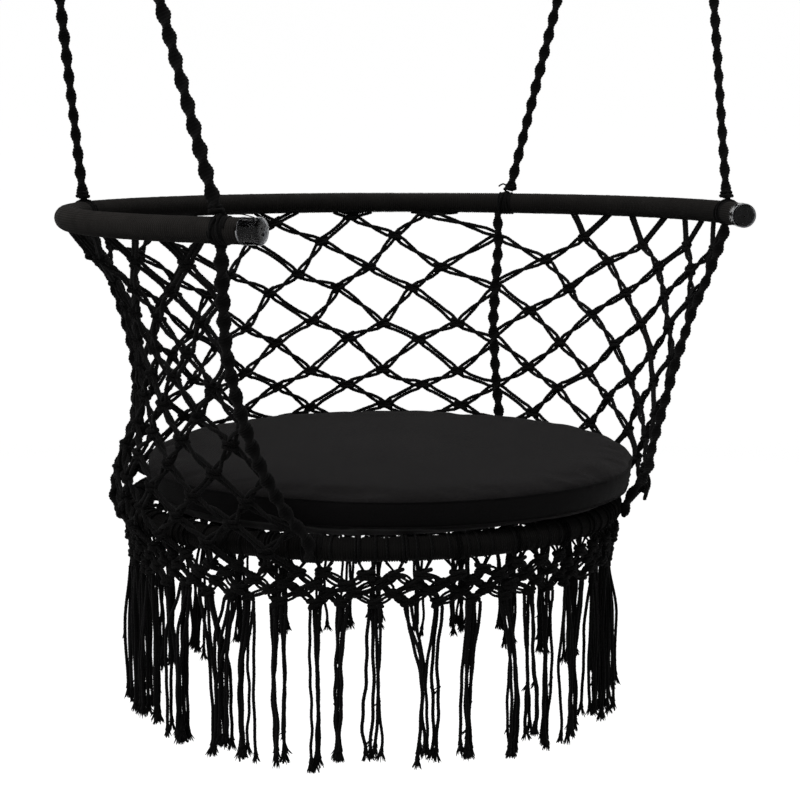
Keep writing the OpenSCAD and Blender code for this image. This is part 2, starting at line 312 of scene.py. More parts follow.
class Nodes:
    """A short way to write a material's node tree."""

    def __init__(self, name):
        self.material = bpy.data.materials.new(name)
        self.material.use_nodes = True
        self.tree = self.material.node_tree
        self.shader = self.tree.nodes["Principled BSDF"]

    def set(self, **values):
        for key, value in values.items():
            self.shader.inputs[key.replace("_", " ")].default_value = value

    def link(self, source, target):
        if isinstance(source, (int, float, tuple)):
            target.default_value = source
        else:
            self.tree.links.new(source, target)

    def node(self, kind, **inputs):
        """A new node, with its inputs set or linked by name."""
        n = self.tree.nodes.new("ShaderNode" + kind)
        for key, value in inputs.items():
            self.link(value, n.inputs[key.replace("_", " ")])
        return n

    def math(self, operation, a, b=0.0, clamp=False):
        n = self.node("Math")
        n.operation = operation
        n.use_clamp = clamp
        self.link(a, n.inputs[0])
        self.link(b, n.inputs[1])
        return n.outputs[0]

    def plus(self, a, b):
        return self.math("ADD", a, b)

    def times(self, a, b, clamp=False):
        return self.math("MULTIPLY", a, b, clamp)

    def remap(self, value, lo, hi, new_lo, new_hi):
        n = self.node("MapRange", Value=value, From_Min=lo, From_Max=hi, To_Min=new_lo, To_Max=new_hi)
        return n.outputs["Result"]

    def place(self, *scales):
        """Object coordinates, stretched by an x, y and z scale if they are given."""
        place = self.node("TexCoord").outputs["Object"]
        if not scales:
            return place
        n = self.node("VectorMath")
        n.operation = "MULTIPLY"
        self.link(place, n.inputs[0])
        self.link(scales, n.inputs[1])
        return n.outputs[0]

    def split(self, vector):
        return self.node("SeparateXYZ", Vector=vector).outputs

    def lay(self):
        """The lay coordinates as two outputs: around, from 0 to 1, and along, in metres."""
        uv = self.node("UVMap")
        uv.uv_map = "lay"
        around, along, _ = self.split(uv.outputs["UV"])
        return around, along

    def noise(self, place, scale, detail=3.0, roughness=0.55):
        n = self.node("TexNoise", Vector=place, Scale=scale, Detail=detail, Roughness=roughness)
        return n.outputs["Fac"]

    def stripes(self, value):
        """A soft wave from 0 to 1, once for each unit of the value."""
        return self.remap(self.math("SINE", self.times(value, 2 * math.pi)), -1, 1, 0, 1)

    def bump(self, height, distance, strength):
        n = self.node("Bump", Height=height, Distance=distance, Strength=strength)
        self.link(n.outputs["Normal"], self.shader.inputs["Normal"])

    def colour(self, factor, dark, light):
        """A base colour between two others."""
        n = self.node("Mix")
        n.data_type = "RGBA"
        self.link(factor, n.inputs["Factor"])
        self.link((*dark, 1.0), n.inputs["A"])
        self.link((*light, 1.0), n.inputs["B"])
        self.link(n.outputs["Result"], self.shader.inputs["Base Color"])

    def roughness(self, value):
        self.link(value, self.shader.inputs["Roughness"])


def cotton(name, dark, light, strands, fibres, fibre_slope, sheen=0.05):
    """Dyed cotton cord: strands painted darker in their grooves as shade and lighter on their tops, and fine
    fibres along them.
    """
    m = Nodes(name)
    around, along = m.lay()
    # Painted shade: each strand is coloured darker in the groove beside it and lighter on its top.
    groove_shade = m.stripes(m.plus(m.times(around, strands), 0.25))
    slope = m.times(along, 1 / fibre_slope)
    fibre = m.stripes(m.plus(m.times(around, fibres), slope))
    fuzz = m.noise(m.place(), 900.0, 4.0, 0.7)
    patches = m.noise(m.place(), 35.0)
    grain = m.times(m.plus(fibre, m.times(fuzz, 1.4)), 0.42)
    shade = m.times(m.plus(m.times(groove_shade, 0.55), grain), 0.7)
    m.colour(m.times(shade, m.remap(patches, 0.3, 0.7, 0.65, 1.15), clamp=True), dark, light)
    m.roughness(m.remap(fuzz, 0.3, 0.7, 0.78, 0.98))
    m.bump(m.plus(m.times(fibre, 0.5), fuzz), 0.35 * MM, 0.7)
    m.set(Sheen_Weight=sheen, Sheen_Roughness=0.45, Specular_IOR_Level=0.04)
    return m.material


THREAD = 0.9 * MM


def canvas(name, dark, light, wrinkle):
    """Plain-woven cotton canvas: threads over and under, slubs, faint creases and rubbed patches."""
    m = Nodes(name)
    x, y, z = m.split(m.place())
    warp = m.stripes(m.times(x, 1 / THREAD))
    weft = m.stripes(m.times(m.plus(y, z), 1 / THREAD))
    under = m.times(m.math("SUBTRACT", 1.0, warp), m.math("SUBTRACT", 1.0, weft))
    over = m.plus(m.times(warp, weft), under)
    slub = m.noise(m.place(60.0, 900.0, 900.0), 1.0)
    cross_slub = m.noise(m.place(900.0, 60.0, 900.0), 1.0)
    slubs = m.times(m.plus(slub, cross_slub), 0.5)
    patches = m.noise(m.place(), 9.0, 4.0)
    creases = m.noise(m.place(), 22.0, 2.0, 0.4)
    shade = m.plus(m.times(over, 0.35), m.remap(slubs, 0.35, 0.65, 0.0, 0.6))
    m.colour(m.times(shade, m.remap(patches, 0.3, 0.7, 0.75, 1.2), clamp=True), dark, light)
    m.roughness(m.remap(slubs, 0.35, 0.65, 0.75, 0.95))
    height = m.plus(m.times(over, 0.25), m.times(slubs, 0.35))
    m.bump(m.plus(height, m.times(creases, wrinkle)), 0.8 * MM, 0.6)
    m.set(Sheen_Weight=0.05, Sheen_Roughness=0.4, Specular_IOR_Level=0.03)
    return m.material


def moulded_plastic(name, dark, light, roughness):
    """Black moulded plastic with a fine spark texture and scuffs."""
    m = Nodes(name)
    grain = m.noise(m.place(), 2500.0, 2.0)
    scuffs = m.noise(m.place(120.0, 600.0, 120.0), 1.0, 4.0, 0.7)
    m.colour(m.remap(scuffs, 0.45, 0.75, 0.0, 1.0), dark, light)
    m.roughness(m.remap(scuffs, 0.3, 0.7, roughness, roughness + 0.2))
    m.bump(grain, 0.05 * MM, 0.6)
    m.set(Specular_IOR_Level=0.12)
    return m.material


def clear_plastic(name):
    """Clear cap: glossy, with faint smears and a ripple left by the mould."""
    m = Nodes(name)
    smears = m.noise(m.place(80.0, 80.0, 400.0), 1.0)
    ripple = m.noise(m.place(), 160.0, 2.0)
    m.colour(smears, (0.20, 0.21, 0.22), (0.30, 0.30, 0.31))
    m.roughness(m.remap(smears, 0.4, 0.75, 0.0, 0.04))
    m.bump(ripple, 0.02 * MM, 0.3)
    m.set(Transmission_Weight=1.0, IOR=1.2)
    return m.material


def steel(name, colour, low, high):
    """Drawn steel: fine drawing lines, dull patches and dark spots of wear."""
    m = Nodes(name)
    lines = m.noise(m.place(2600.0, 2600.0, 90.0), 1.0, 2.0)
    patches = m.noise(m.place(), 60.0, 4.0, 0.6)
    m.colour(m.remap(patches, 0.55, 0.75, 0.0, 1.0), colour, [c * 0.45 for c in colour])
    m.roughness(m.remap(m.plus(lines, patches), 0.7, 1.3, low, high))
    m.bump(lines, 0.03 * MM, 0.5)
    m.set(Metallic=1.0)
    return m.material


NET_COTTON = cotton("net_cotton", (0.0022, 0.0021, 0.0022), (0.017, 0.0165, 0.0165), 3, 12, 3.0 * MM)
FRINGE_COTTON = cotton("fringe_cotton", (0.002, 0.002, 0.0021), (0.013, 0.0125, 0.013), 3, 12, 3.0 * MM)
ROPE_COTTON = cotton("rope_cotton", (0.002, 0.002, 0.0021), (0.014, 0.0135, 0.0135), 2, 40, 2.4 * MM)
WRAP_COTTON = cotton("wrap_cotton", (0.008, 0.0074, 0.0069), (0.040, 0.0365, 0.034), 1, 30, 1.4 * MM, 0.08)
# The seat ring's cord is the hoop's wrap cord coloured darker, painted shade from the cushion above it.
SHADED_RING_COTTON = cotton("ring_cotton_painted_shade", (0.003, 0.0028, 0.0027), (0.015, 0.014, 0.0135), 1, 30, 1.4 * MM)
TWINE_COTTON = cotton("twine_cotton", (0.006, 0.006, 0.006), (0.030, 0.029, 0.028), 1, 24, 1.2 * MM)
PANEL_CANVAS = canvas("panel_canvas", (0.008, 0.0074, 0.0077), (0.0275, 0.0255, 0.026), 1.0)
# The side band is the panel canvas coloured darker, painted shade on the cushion's side.
SHADED_BAND_CANVAS = canvas("band_canvas_painted_shade", (0.005, 0.0048, 0.005), (0.016, 0.015, 0.0155), 1.6)
PLUG_PLASTIC = moulded_plastic("plug_plastic", (0.008, 0.008, 0.008), (0.02, 0.02, 0.02), 0.32)
CAP_PLASTIC = clear_plastic("cap_plastic")
FRAME_STEEL = steel("frame_steel", (0.42, 0.42, 0.43), 0.3, 0.55)
RING_STEEL = steel("hang_ring_steel", (0.62, 0.62, 0.61), 0.16, 0.38)


# ---- suspension ropes: spiral sinnets ----

CORD_R = 2.35 * MM
CORD_STEP = 2.5 * MM
RIDGE = 4.2 * MM
RIDGE_DEPTH = 0.75 * MM


def sinnet(piece, path, width, ref, half_turn=23 * MM, phase=0.0):
    """A rope of half knots: an oval that turns as it goes, with a ridge where each loop crosses it."""
    path = resample(path, RIDGE / 5)
    s = lengths(path)
    _, side, up = frames(path, ref)
    theta = circle(24)[None]
    turn = phase + math.pi * s / half_turn
    ends = np.clip(np.minimum(s, s[-1] - s) / (5 * MM), 0.0, 1.0)
    swell = (0.62 + 0.38 * ease(ends)) * (1 + 0.05 * np.sin(s / (31 * MM) + phase))
    wide = width / 2 - RIDGE_DEPTH * 0.5
    flat = wide * 0.6
    loops = np.abs(np.cos(math.pi * s[:, None] / RIDGE - theta))
    lift = RIDGE_DEPTH * (loops - 0.5)
    pinch = 1 - 0.1 * np.abs(np.sin(theta)) ** 4
    x = (wide * pinch + lift) * np.cos(theta) * swell[:, None]
    y = (flat + lift) * np.sin(theta) * swell[:, None]
    cos, sin = np.cos(turn)[:, None], np.sin(turn)[:, None]
    across = x * cos - y * sin
    out = x * sin + y * cos
    skin(piece, path[:, None] + across[..., None] * side[:, None] + out[..., None] * up[:, None], s)


ROPE_WIDTH = dict(zip(CORNERS, (15.5 * MM, 12.5 * MM, 13.5 * MM, 14.5 * MM)))
FOOT_CLEAR = 17 * MM
EYE_BOTTOM = 27 * MM

ropes = {}
for number, corner in enumerate(CORNERS):
    rope_way = unit(HANG[corner] - FOOT[corner])
    start = FOOT[corner] + rope_way * FOOT_CLEAR
    end = HANG[corner] - rope_way * EYE_BOTTOM
    route = [start + (end - start) * t for t in np.linspace(0, 1, 24)]
    made = Piece()
    sinnet(made, np.array(route), ROPE_WIDTH[corner], Y, phase=0.7 * number)
    node, body = "suspension_rope_" + corner, "rope_" + corner
    rope = stand_in(made, node, "_sinnet", ROPE_COTTON, body, "suspension_rope")
    ropes[corner] = (rope, route, rope_way)


# ---- winding: a cord laid side by side round a tube ----

WRAP_PITCH = 2.7 * MM
WRAP_RIDGE = 1.25 * MM
WRAP_CORE_R = WRAPPED_R - 1.3 * MM
HITCH_CORE_R = WRAPPED_R - 0.4 * MM


def wind(piece, place, turns, per_turn, around, lift, closed=False):
    """Skin of a cord wound in a helix. place(turn, angle, lift) gives its points, and
    lift(turn, step) the height of its ridges."""
    rows = turns * per_turn + (0 if closed else 1)
    i = np.arange(rows)
    k = np.arange(around)
    turn = i[:, None] / per_turn + k[None] / around
    angle = 2 * math.pi * k / around + 0 * turn
    step = (i % per_turn)[:, None] / per_turn + 0 * turn
    index = i[:, None] * around + k[None]
    below = np.roll(index, -1, 0)
    last = rows if closed else rows - 1
    body = np.stack([index[:, :-1], index[:, 1:], below[:, 1:], below[:, :-1]], -1)[:last].reshape(-1, 4)
    u = angle[:last] / (2 * math.pi)
    v = (step[:last, :-1, None] + np.array([0, 0, 1, 1]) / per_turn) * WRAP_PITCH
    lay = np.stack([np.stack([u[:, :-1], u[:, 1:], u[:, 1:], u[:, :-1]], -1), v], -1)

    # The last point of each turn joins the first of the next
    seam = i if closed else i[: last - per_turn]
    seam_faces = np.stack([
        index[seam, -1], index[(seam + per_turn) % rows, 0],
        index[(seam + per_turn + 1) % rows, 0], index[(seam + 1) % rows, -1],
    ], -1)
    u0 = 1 - 1 / around
    seam_lay = np.stack([
        np.stack([np.full(len(seam), u), (step[seam, 0] + v / per_turn) * WRAP_PITCH], -1)
        for u, v in ((u0, 0), (1, 0), (1, 1), (u0, 1))
    ], 1)
    groups = [(body, lay), (seam_faces, seam_lay)]
    if not closed:
        foot = np.concatenate([index[0], index[per_turn:0:-1, 0]])
        top = np.concatenate([index[-1][::-1], index[last - per_turn:last, -1]])
        groups += [(end[None, ::-1], np.zeros((1, len(end), 2))) for end in (foot, top)]
    piece.add(place(turn, angle, lift(turn, step)), *groups)


def round_ridge(step):
    return np.sin(math.pi * step) ** 0.7


def uneven_ridge(height, dent, seed, turns):
    """The lift of a wound cord: a round ridge for each turn, each a little higher or lower than the next."""
    wander = np.random.default_rng(seed).normal(0, 1, turns + 3)

    def lift(turn, step):
        uneven = np.interp(turn.ravel(), np.arange(turns + 3), wander).reshape(turn.shape)
        return height * round_ridge(step) + dent * uneven

    return lift


def round_arc(centre, bend_r, from_deg, pitch, core_r, window=lambda turn: 1.0):
    """Places wound points round a bent tube: angle 0 faces outwards and -90 degrees faces up."""

    def place(turn, angle, lift):
        a = np.radians(from_deg + math.degrees(pitch / bend_r) * turn)
        r = core_r + lift * window(turn) - (1 - window(turn)) * 2.5 * MM
        flat = bend_r + r * np.cos(angle)
        return centre + np.stack([flat * np.cos(a), flat * np.sin(a), -r * np.sin(angle)], -1)

    return place


LOOP_R = WRAPPED_R + 0.9 * MM


def round_wrap(at, angle, radius, sweep):
    """Points round the wrapped hoop or ring at an angle of it. A sweep of 0 faces outwards."""
    return at + radius * turn_between(sweep, radial(angle), UP)


hoop_sweep = math.radians(HOOP_ARC[1] - HOOP_ARC[0]) * HOOP_R
turns = int(hoop_sweep / WRAP_PITCH) - 1
made = Piece()
wind(made, round_arc(HOOP, HOOP_R, HOOP_ARC[0], hoop_sweep / (turns + 1), WRAP_CORE_R), turns, 4, 22,
     uneven_ridge(WRAP_RIDGE, 0.1 * MM, 11, turns))
fit(made, "hoop_winding", WRAP_COTTON, "chair", "frame_wrapping", "hoop_wrap")

ring_length = 2 * math.pi * RING_R
turns = round(ring_length / WRAP_PITCH)
made = Piece()
wind(made, round_arc(RING, RING_R, 0.0, ring_length / turns, WRAP_CORE_R), turns, 4, 18,
     lambda turn, step: WRAP_RIDGE * round_ridge(step), closed=True)
# The ring's winding takes the darker cord, painted shade.
fit(made, "seat_ring_winding", SHADED_RING_COTTON, "chair", "frame_wrapping", "seat_ring_wrap")


# ---- knots ----


def knot_form(half_width=7.8 * MM, height=3.3 * MM, thickness=3.9 * MM, cord_r=CORD_R):
    """A square knot: tilted loops round the cords it gathers. x is across, y up and z out."""
    form = Piece()
    t = circle(14)
    bands = ((height, 0.9, 1.0, 0.0), (-height, -0.9, 1.0, 1.1), (0.1 * height, -2.2, 0.86, 2.0))
    for middle, tilt, size, phase in bands:
        loop = np.stack([
            half_width * size * np.cos(t),
            middle + tilt * MM * np.cos(t) + 0.5 * MM * np.sin(2 * t),
            thickness * size * np.sin(t),
        ], -1)
        tube(form, loop, cord_r, Y, sides=7, lobes=1, depth=0.08, pitch=9 * MM,
             phase=phase, closed=True)
    return form


KNOT = knot_form()
SMALL_KNOT = knot_form(6.6 * MM, 2.6 * MM, 3.3 * MM, 1.95 * MM)


def tie(piece, at, across, out, rng, form=KNOT, scale=1.0):
    """Sets a knot at a point, turned and sized a little by chance."""
    out = unit(out)
    across = unit(across - out * np.dot(across, out))
    up = np.cross(out, across)
    turn = rng.normal(0, 0.16)
    x = across * math.cos(turn) + up * math.sin(turn)
    y = up * math.cos(turn) - across * math.sin(turn)
    if rng.random() < 0.5:
        x, out = -x, -out
    piece.place(form, at, [x, y, out], scale * rng.uniform(0.94, 1.08))


def pair(piece, a, b, out, rng, step=CORD_STEP, sides=9, eye=1.0 * MM, turns=0.5, bow=1.2 * MM):
    """Two cords from a to b that lie side by side and cross between the two knots."""
    t = np.linspace(0, 1, max(6, int(np.linalg.norm(b - a) / step)))
    lateral = unit(np.cross(out, b - a))
    outward = unit(np.cross(b - a, lateral))
    sign = 1 if rng.random() < 0.5 else -1
    spin = sign * 2 * math.pi * turns * ease((t - 0.16) / 0.68)
    eyes = np.exp(-(((t - 0.17) / 0.09) ** 2)) + np.exp(-(((t - 0.83) / 0.09) ** 2))
    apart = CORD_R * 0.96 + eye * eyes * rng.uniform(0.4, 1.3)
    arc = np.sin(math.pi * t)[:, None]
    middle = a + (b - a) * t[:, None] + arc * (lateral * rng.normal(0, bow) + outward * rng.normal(0, bow))
    for half in (0, 1):
        path = middle + apart[:, None] * turn_between(spin + half * math.pi, lateral, outward)
        tube(piece, path, CORD_R, out, sides=sides, phase=rng.uniform(0, 6))


# ---- the three net panels ----

NET_FOOT_R = RING_R + WRAPPED_R + 2.5 * MM
NET_TOP_DROP = WRAPPED_R + 1 * MM

# How far each post draws the net in, and how that grows and fades from the hoop down to the ring
WAIST = dict(zip(CORNERS, (0.0, 0.0, 32 * MM, 0.0)))
WAIST_AT = (0.0, 0.2, 0.4, 0.6, 0.7, 0.8, 1.0)
WAIST_SHARE = (0.0, 0.35, 0.75, 1.0, 0.8, 0.0, 0.0)

# The net passes outside the cushion where level with it
cushion_lo, cushion_hi = box_of("cushion_top_panel")
CUSHION = (cushion_lo + cushion_hi) / 2
CUSHION_R = (cushion_hi[0] - cushion_lo[0]) / 2
BULGE = 10 * MM
LEVEL_AT = (0.7, 0.8, 0.95, 1.0)
LEVEL_SHARE = (0.0, 1.0, 1.0, 0.0)

# Between its posts a net is drawn flatter than the hoop and the ring
PINCH_AT = (0.0, 0.15, 0.3, 0.5, 0.65, 0.8)
PINCH_SHARE = (0.0, 0.8, 1.0, 0.75, 0.3, 0.0)


class Panel:
    """A net panel between two posts. t runs from its first post to its last, v from the hoop to the ring.

    lean shifts the rows near the hoop along the panel and tilt slopes them, and both fade out at v = fade.
    pinch draws the middle of the panel in, and crowd moves its knots towards the last post.
    """

    lean = tilt = pinch = crowd = 0.0
    fade = 1.0

    def __init__(self, name, first, last, half_columns, rows, **shape):
        self.name = name
        self.posts = (first, last)
        self.half_columns = half_columns
        self.rows = rows
        vars(self).update(shape)

    def between(self, table, t):
        """The table's value at t, from its values at the two posts."""
        first, last = (table[post] for post in self.posts)
        return first + (last - first) * t

    def place(self, t, v):
        """The net's surface point, and the level direction outwards there."""
        top = round_the(HOOP, HOOP_R, self.between(HOOP_ANGLE, t), NET_TOP_DROP)
        foot = round_the(RING, NET_FOOT_R, self.between(RING_ANGLE, t))
        at = top + (foot - top) * v
        flat = (at - RING) * (1, 1, 0)
        direction = unit(flat)
        waist = self.between(WAIST, t) * np.interp(v, WAIST_AT, WAIST_SHARE)
        reach = np.linalg.norm(flat) - waist
        clear = CUSHION_R + np.dot((CUSHION - RING)[:2], direction[:2]) + BULGE + 4 * MM
        reach += np.interp(v, LEVEL_AT, LEVEL_SHARE) * max(0.0, clear - reach)
        return RING * (1, 1, 0) + at * (0, 0, 1) + direction * reach, direction

    def out(self, t, v):
        return unit(self.place(t, v)[1] + UP * -0.25)

    def point(self, t, v):
        return self.place(t, v)[0]

    def is_edge(self, half):
        return half in (0, self.half_columns)

    def shifted(self, t, v):
        """The panel's t, moved along by its lean and its crowding."""
        return t + self.lean * max(0.0, 1 - v / self.fade) + self.crowd * 4 * t * (1 - t)

    def knot(self, half, v):
        """Where the lattice meets: on a post at either edge, and in a knot on the panel between them."""
        t = half / self.half_columns
        slope = self.tilt * (t - 0.5) * max(0.0, 1 - v / self.fade)
        if self.is_edge(half):
            return post_at(self.posts[0 if half == 0 else 1], self.point(t, v + slope)[2])
        t = self.shifted(t, v)
        v = v + slope
        at, out = self.place(t, v)
        inward = self.pinch * np.interp(v, PINCH_AT, PINCH_SHARE) * math.sqrt(4 * t * (1 - t))
        return at - out * inward + self.drawn(0, v) * (1 - t) ** 2 + self.drawn(1, v) * t**2

    def drawn(self, end, v):
        """How far the post at one end pulls the net sideways from its surface."""
        edge = self.point(end, v)
        return (post_at(self.posts[end], edge[2]) - edge) * (1, 1, 0)


def rows_of(first_parity, heights):
    return [((first_parity + i) % 2, v) for i, v in enumerate(heights)]


LEFT_ROWS = rows_of(1, (0.07, 0.16, 0.26, 0.36, 0.46, 0.56, 0.66, 0.75, 0.84, 0.92, 1.0))
BACK_ROWS = rows_of(1, (0.04, 0.12, 0.235, 0.31, 0.44, 0.51, 0.63, 0.69, 0.78, 0.84, 0.93, 1.0))
RIGHT_ROWS = rows_of(0, (0.09, 0.18, 0.28, 0.385, 0.49, 0.60, 0.69, 0.79, 0.88, 0.96))
PANELS = [
    Panel("left_net", "front_left", "back_left", 10, LEFT_ROWS, pinch=36 * MM),
    Panel("back_net", "back_right", "back_left", 13, BACK_ROWS, lean=0.085, tilt=0.1, fade=0.42),
    Panel("right_net", "back_right", "front_right", 9, RIGHT_ROWS, lean=0.06, fade=0.35, crowd=0.06),
]

TASSELS = 52
COLUMN = 360 / TASSELS
TASSEL_ANGLE = COLUMN / 2

# Each row of the skirt's knots: its shift in columns, its drop below the ring, and how far out it stands
SKIRT_ROWS = (
    (0.5, 25 * MM, 6.5 * MM),
    (0.0, 36 * MM, 4 * MM),
    (0.5, 47.5 * MM, 2 * MM),
    (0.0, 58.5 * MM, 1 * MM),
)
SKIRT_WANDER = np.random.default_rng(51).normal(0, 1, (len(SKIRT_ROWS), TASSELS, 3))


def skirt_point(row, column):
    """A knot of the skirt, tied a little off its even place."""
    shift, drop, out = SKIRT_ROWS[row]
    sideways, down, outward = SKIRT_WANDER[row, column % TASSELS]
    angle = TASSEL_ANGLE + COLUMN * (column + shift + 0.11 * sideways)
    return round_the(RING, RING_R + out + 1.2 * MM * outward, angle, drop + 1.5 * MM * down), angle


def nearest_skirt(at):
    """The two knots of the skirt's first row on either side of a point on the ring."""
    angle = math.degrees(math.atan2(at[1] - RING[1], at[0] - RING[0]))
    column = (angle - TASSEL_ANGLE) / COLUMN - SKIRT_ROWS[0][0]
    return [skirt_point(0, math.floor(column) + k)[0] for k in (0, 1)]


for number, panel in enumerate(PANELS):
    rng = np.random.default_rng(100 + number)
    cords, knots = Piece(), Piece()
    places = {}
    for row, (parity, v) in enumerate(panel.rows):
        for half in range(parity, panel.half_columns + 1, 2):
            at = panel.knot(half, v)
            t = half / panel.half_columns
            out = panel.out(t, v)
            if not panel.is_edge(half):
                at = at + rng.normal(0, 1.6, 3) * (MM, MM, 1.3 * MM)
                across = panel.point(t + 0.02, v) - panel.point(t - 0.02, v)
                tie(knots, at, across, out, rng)
            places[row, half] = (at, out)
    for (row, half), (at, out) in sorted(places.items()):
        for side in (-1, 1):
            below = places.get((row + 1, half + side))
            if below is not None:
                pair(cords, at, below[0], out, rng, turns=rng.choice((0.5, 0.5, 0.5, 0.0)))
        if panel.is_edge(half):
            continue
        if row == 0:
            t = panel.shifted(half / panel.half_columns, panel.rows[0][1])
            for side in (-1, 1):
                spread = side * rng.uniform(0.18, 0.36) * 2 / panel.half_columns
                hoop = panel.between(HOOP_ANGLE, np.clip(t + spread, 0.01, 0.99))
                end = round_the(HOOP, HOOP_R - 1 * MM, hoop, WRAPPED_R - 3 * MM)
                pair(cords, at, end, out, rng, eye=0.3 * MM, turns=0.0, bow=0.5 * MM)
        if row == len(panel.rows) - 1:
            for end in nearest_skirt(at):
                pair(cords, at, end, out, rng, eye=0.5 * MM, turns=0.0, bow=0.8 * MM)
    hang_net(cords, knots, panel.name, NET_COTTON, "net_cord")


# ---- seat net ----

rng = np.random.default_rng(41)
cords, knots = Piece(), Piece()
SEAT_PITCH = 46 * MM
SEAT_SAG = 7 * MM
SEAT_MARGIN = 12 * MM
SEAT_STEP = 3.5 * MM
seat_r = RING_R - WRAPPED_R


def seat_point(i, j):
    """A knot of the seat net, which sags a little towards its middle."""
    x, y = (i - j) * SEAT_PITCH / math.sqrt(2), (i + j) * SEAT_PITCH / math.sqrt(2)
    r = math.hypot(x, y)
    return np.array([x, y, -SEAT_SAG * max(0.0, 1 - (r / seat_r) ** 2)]), r


reach = 2 * int(seat_r / SEAT_PITCH) + 4
inside = {}
for i in range(-reach, reach + 1):
    for j in range(-reach, reach + 1):
        at, r = seat_point(i, j)
        if r < seat_r - SEAT_MARGIN:
            inside[i, j] = RING + at + rng.normal(0, 1.2, 3) * (MM, MM, 0.3 * MM)
for (i, j), at in sorted(inside.items()):
    tie(knots, at, X, UP, rng, SMALL_KNOT)
    for di, dj in ((1, 0), (0, 1), (-1, 0), (0, -1)):
        other = inside.get((i + di, j + dj))
        if other is not None:
            if di + dj > 0:
                pair(cords, at, other, UP, rng, step=SEAT_STEP, sides=6)
            continue
        # A cord that leaves the net ends on the ring
        start = at - RING
        way = seat_point(i + di, j + dj)[0] - start
        lo, hi = 0.0, 1.0
        for _ in range(30):
            mid = (lo + hi) / 2
            lo, hi = (mid, hi) if np.hypot(*(start + way * mid)[:2]) < seat_r + 2 * MM else (lo, mid)
        end = RING + (start + way * lo) * (1, 1, 0)
        if np.linalg.norm(end - at) > 6 * MM:
            pair(cords, at, end, UP, rng, step=SEAT_STEP, sides=6, turns=0.0)
            angle = math.degrees(math.atan2(end[1] - RING[1], end[0] - RING[0]))
            for k in (-1, 1):
                a = angle + k * math.degrees(2 * MM / RING_R)
                path = round_wrap(round_the(RING, RING_R, a), a, LOOP_R, circle(18))
                tube(cords, path, 1.5 * MM, ahead(a), sides=6, lobes=1, depth=0.05, closed=True)
hang_net(cords, knots, "seat_net", NET_COTTON, "net_cord")


# ---- skirt ----

STRAND_R = 1.6 * MM


def strand(piece, a, b, out, rng, count):
    """Cords that leave one knot together, fan out, and meet again at the next."""
    lateral = unit(np.cross(out, b - a))
    t = np.linspace(0, 1, max(7, int(np.linalg.norm(b - a) / CORD_STEP)))
    arc = np.sin(math.pi * t)
    for c in range(count):
        aside = (c - (count - 1) / 2) * 3.3 * MM * arc**0.6 + rng.normal(0, 0.6 * MM) * arc
        outward = rng.normal(0, 1.0 * MM) * arc
        path = a + (b - a) * t[:, None] + aside[:, None] * lateral + outward[:, None] * unit(out)
        tube(piece, path, STRAND_R, out, sides=8, phase=rng.uniform(0, 6))


rng = np.random.default_rng(52)
cords, knots = Piece(), Piece()
for column in range(TASSELS):
    for row in range(len(SKIRT_ROWS) - 1):
        at, angle = skirt_point(row, column)
        tie(knots, at, ahead(angle), radial(angle), rng, SMALL_KNOT, 1.2)
        first = column + (1 if SKIRT_ROWS[row][0] else 0)
        for below in (first - 1, first):
            end, _ = skirt_point(row + 1, below)
            strand(cords, at, end, radial(angle), rng, rng.choice((3, 3, 4)))
    at, angle = skirt_point(0, column)
    for side in (-1, 1):
        a = angle + side * COLUMN * rng.uniform(0.2, 0.3)
        path = round_wrap(round_the(RING, RING_R, a), a, LOOP_R, np.radians(np.linspace(-62, 274, 20)))
        tube(cords, np.vstack([at, path, at + radial(a) * -2 * MM]), STRAND_R, ahead(a), sides=7)
hang_net(cords, knots, "skirt_net", NET_COTTON, "net_cord")


# ---- fringe ----


def brush(piece, end, down, rng, hairs, length, spread):
    """The combed-out end of a cord: fine hairs that splay from it."""
    side = unit(np.cross(down, [0.3, 0.8, 0.1]))
    other = np.cross(down, side)
    for _ in range(hairs):
        angle = rng.uniform(0, 2 * math.pi)
        away = side * math.cos(angle) + other * math.sin(angle)
        splay = spread * math.sqrt(rng.uniform(0.02, 1.0))
        reach = length * rng.uniform(0.75, 1.1)
        t = np.linspace(0, 1, 5)[:, None]
        root = end - down * 3 * MM + away * 0.9 * MM
        path = root + down * (reach + 3 * MM) * t + away * splay * t**1.6
        thick = np.array([1.0, 0.95, 0.85, 0.7, 0.3]) * MM
        tube(piece, path, thick, side + other * 0.3, sides=4, lobes=0, depth=0.0)


def wander(t, rng, size, rate):
    """A sideways wave that grows down a cord: size is a range in mm, and rate a range in radians."""
    reach = rng.uniform(*size) * MM
    return reach * np.sin(t * rng.uniform(*rate) + rng.uniform(0, 6)) * np.sqrt(t)


CORDS_IN_TASSEL = (3, 4, 4, 5, 5, 6)
CORD_ENDS_R = 1.95 * MM
HAIRS = 17
FRINGE_FOOT = box_of("fringe_front")[0][2]
QUARTER = TASSELS // 4
QUARTERS = {"fringe_right": 0, "fringe_back": 1, "fringe_left": 2, "fringe_front": 3}

